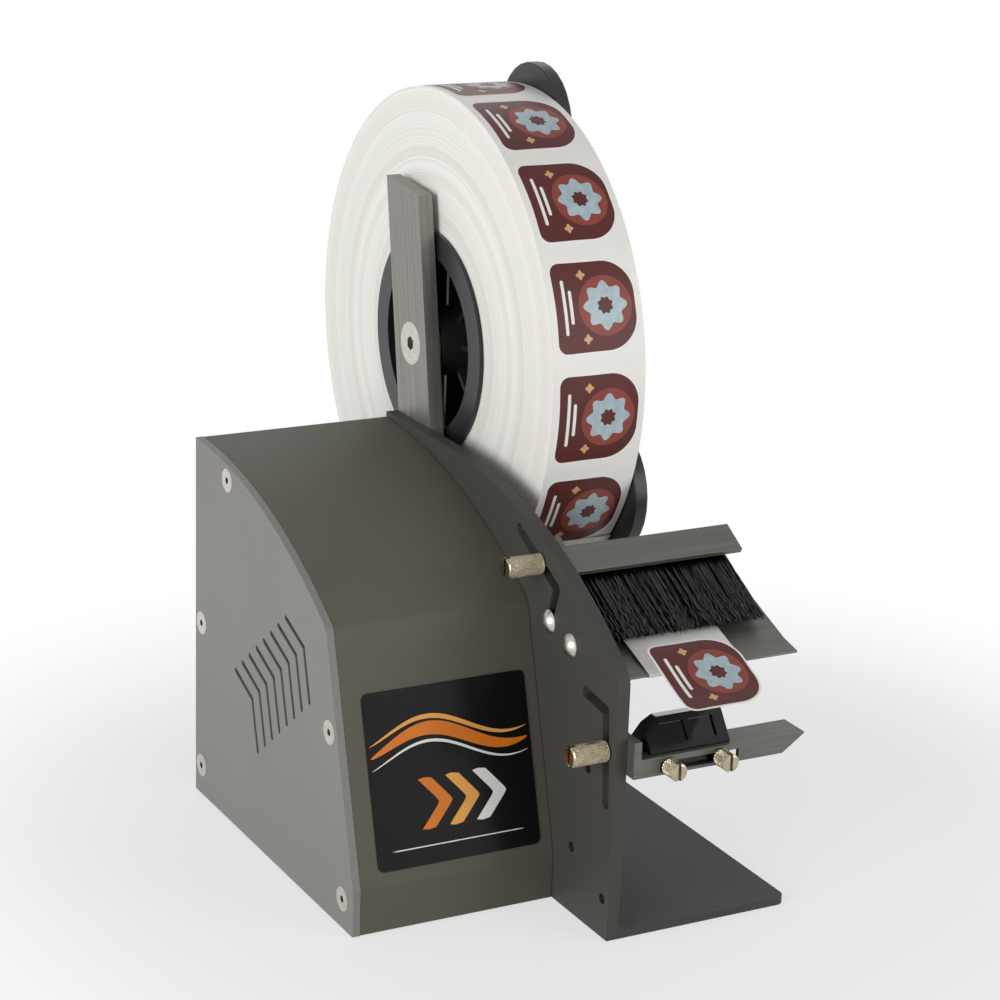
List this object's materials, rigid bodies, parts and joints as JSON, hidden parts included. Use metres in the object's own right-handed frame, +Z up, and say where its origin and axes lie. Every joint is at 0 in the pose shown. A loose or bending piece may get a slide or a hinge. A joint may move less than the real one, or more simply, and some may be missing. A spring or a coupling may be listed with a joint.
{
  "type": "label dispenser",
  "caption": "Motor-driven label dispenser: upright plate with a foot, side motor housing, label roll on an arm, peel plate, strip brush and a label sensor on a sliding bracket.",
  "frame": {"origin": "middle of the flat foot's underside, on the table", "axes": "+X to the right as seen from the front, from the motor housing to the free end of the foot; +Y to the back, away from the user; +Z up"},
  "size_m": [0.1586, 0.3, 0.2874],
  "materials": {
    "grey_coat": "matt powder coat, dark grey",
    "brushed_grey": "brushed, grey anodised",
    "steel": "bright zinc plated",
    "nickel": "knurled, nickel plated",
    "black_plastic": "moulded, satin",
    "paper_white": "uncoated paper",
    "label_print": "printed and varnished label",
    "core_board": "wound cardboard",
    "badge_print": "printed film, gloss",
    "bristle": "black nylon bristles in a steel channel",
    "window": "dark polished window",
    "rubber": "matt rubber",
    "bronze": "sintered bronze",
    "board": "circuit board laminate",
    "felt": "grey felt"
  },
  "bodies": {
    "stand": {"main_plate": "grey_coat", "housing_cover": "grey_coat", "housing_side_panel": "grey_coat", "housing_floor": "grey_coat", "rear_panel": "grey_coat", "housing_screws": "steel", "housing_standoffs": "steel", "front_badge": "badge_print", "reel_arm": "brushed_grey", "arm_screws": "steel", "spindle_screw": "steel", "reel_spindle": "steel", "brake_washer": "felt", "brake_spring_washers": "steel", "brake_nut": "steel", "label_web": "paper_white", "peeled_label": "label_print", "peel_plate": "brushed_grey", "peel_plate_screws": "steel", "guide_pin": "steel", "lever_pin": "steel", "shaft_bushes": "bronze", "inner_frame_plate": "brushed_grey", "frame_pillars": "steel", "frame_fasteners": "steel", "gear_motor": "steel", "drive_belt": "rubber", "rewind_belt": "rubber", "circuit_board": "board", "power_inlet": "black_plastic", "switch_frame": "black_plastic"},
    "reel": {"reel_hub": "black_plastic", "hub_bushes": "bronze", "paper_core": "core_board", "label_roll": "paper_white", "roll_labels": "label_print"},
    "retainer": {"reel_retainer": "black_plastic"},
    "guide": {"guide_roller": "steel"},
    "drive": {"drive_shaft": "steel", "drive_roller": "rubber", "drive_pulleys": "black_plastic"},
    "motor_output": {"motor_pulley": "steel"},
    "rewind": {"rewind_spindle": "steel", "waste_roll": "paper_white", "rewind_pulley": "black_plastic"},
    "lever": {"pinch_lever": "steel", "pinch_pin": "steel", "pinch_spring": "steel"},
    "pinch": {"pinch_roller": "rubber"},
    "brush": {"brush_bracket": "brushed_grey", "strip_brush": "bristle"},
    "brush_knob": {"brush_thumb_screw": "nickel"},
    "sensor_rail": {"sensor_bracket": "brushed_grey", "bracket_nut": "steel"},
    "rail_knob": {"bracket_thumb_screw": "nickel"},
    "sensor": {"sensor_body": "black_plastic", "sensor_windows": "window"},
    "sensor_knob_left": {"sensor_screw_left": "nickel"},
    "sensor_knob_right": {"sensor_screw_right": "nickel"},
    "rocker": {"power_switch": "black_plastic"}
  },
  "joints": [
    {"name": "reel_spin", "type": "hinge", "parent": "stand", "child": "reel", "pos_m": [-0.0055, 0.084, 0.1785], "axis": [1, 0, 0], "continuous": true},
    {"name": "retainer_pull", "type": "slide", "parent": "reel", "child": "retainer", "axis": [1, 0, 0], "range_m": [0, 0.06]},
    {"name": "guide_roller_spin", "type": "hinge", "parent": "stand", "child": "guide", "pos_m": [-0.0085, 0.0073, 0.1026], "axis": [1, 0, 0], "continuous": true},
    {"name": "drive_roller_spin", "type": "hinge", "parent": "stand", "child": "drive", "pos_m": [-0.0055, -0.004, 0.066], "axis": [-1, 0, 0], "continuous": true},
    {"name": "motor_output_spin", "type": "hinge", "parent": "stand", "child": "motor_output", "pos_m": [-0.0585, 0.046, 0.095], "axis": [-1, 0, 0], "continuous": true},
    {"name": "rewind_spin", "type": "hinge", "parent": "stand", "child": "rewind", "pos_m": [-0.0055, 0.032, 0.034], "axis": [-1, 0, 0], "continuous": true},
    {"name": "pinch_lever_swing", "type": "hinge", "parent": "stand", "child": "lever", "pos_m": [-0.0295, 0.02, 0.084], "axis": [-1, 0, 0], "range_deg": [0, 12], "stiffness_Nm_per_rad": 0.4, "springref_deg": -8.59},
    {"name": "pinch_roller_spin", "type": "hinge", "parent": "lever", "child": "pinch", "pos_m": [-0.0055, 0.00176, 0.08183], "axis": [-1, 0, 0], "continuous": true},
    {"name": "brush_slide", "type": "slide", "parent": "stand", "child": "brush", "axis": [0, 0.9011, 0.4335], "range_m": [0, 0.014]},
    {"name": "brush_knob_turn", "type": "hinge", "parent": "brush", "child": "brush_knob", "pos_m": [-0.0385, -0.0361, 0.12497], "axis": [-1, 0, 0], "range_deg": [0, 720]},
    {"name": "sensor_rail_slide", "type": "slide", "parent": "stand", "child": "sensor_rail", "axis": [0, 0.0671, 0.9977], "range_m": [-0.017, 0.006]},
    {"name": "rail_knob_turn", "type": "hinge", "parent": "sensor_rail", "child": "rail_knob", "pos_m": [-0.0385, -0.08759, 0.0713], "axis": [-1, 0, 0], "range_deg": [0, 720]},
    {"name": "sensor_slide", "type": "slide", "parent": "sensor_rail", "child": "sensor", "axis": [1, 0, 0], "range_m": [0, 0.005]},
    {"name": "sensor_knob_left_turn", "type": "hinge", "parent": "sensor", "child": "sensor_knob_left", "pos_m": [-0.019, -0.094, 0.0666], "axis": [0, -1, 0], "range_deg": [0, 720]},
    {"name": "sensor_knob_right_turn", "type": "hinge", "parent": "sensor", "child": "sensor_knob_right", "pos_m": [0.0025, -0.094, 0.0666], "axis": [0, -1, 0], "range_deg": [0, 720]},
    {"name": "power_switch_rock", "type": "hinge", "parent": "stand", "child": "rocker", "pos_m": [-0.0625, 0.0915, 0.034], "axis": [1, 0, 0], "range_deg": [0, 20]}
  ],
  "couplings": [
    {"joint": "motor_output_spin", "follows": "drive_roller_spin", "ratio": 1.3333},
    {"joint": "rewind_spin", "follows": "drive_roller_spin", "ratio": 0.63636},
    {"joint": "pinch_roller_spin", "follows": "drive_roller_spin", "ratio": -1.2857}
  ]
}
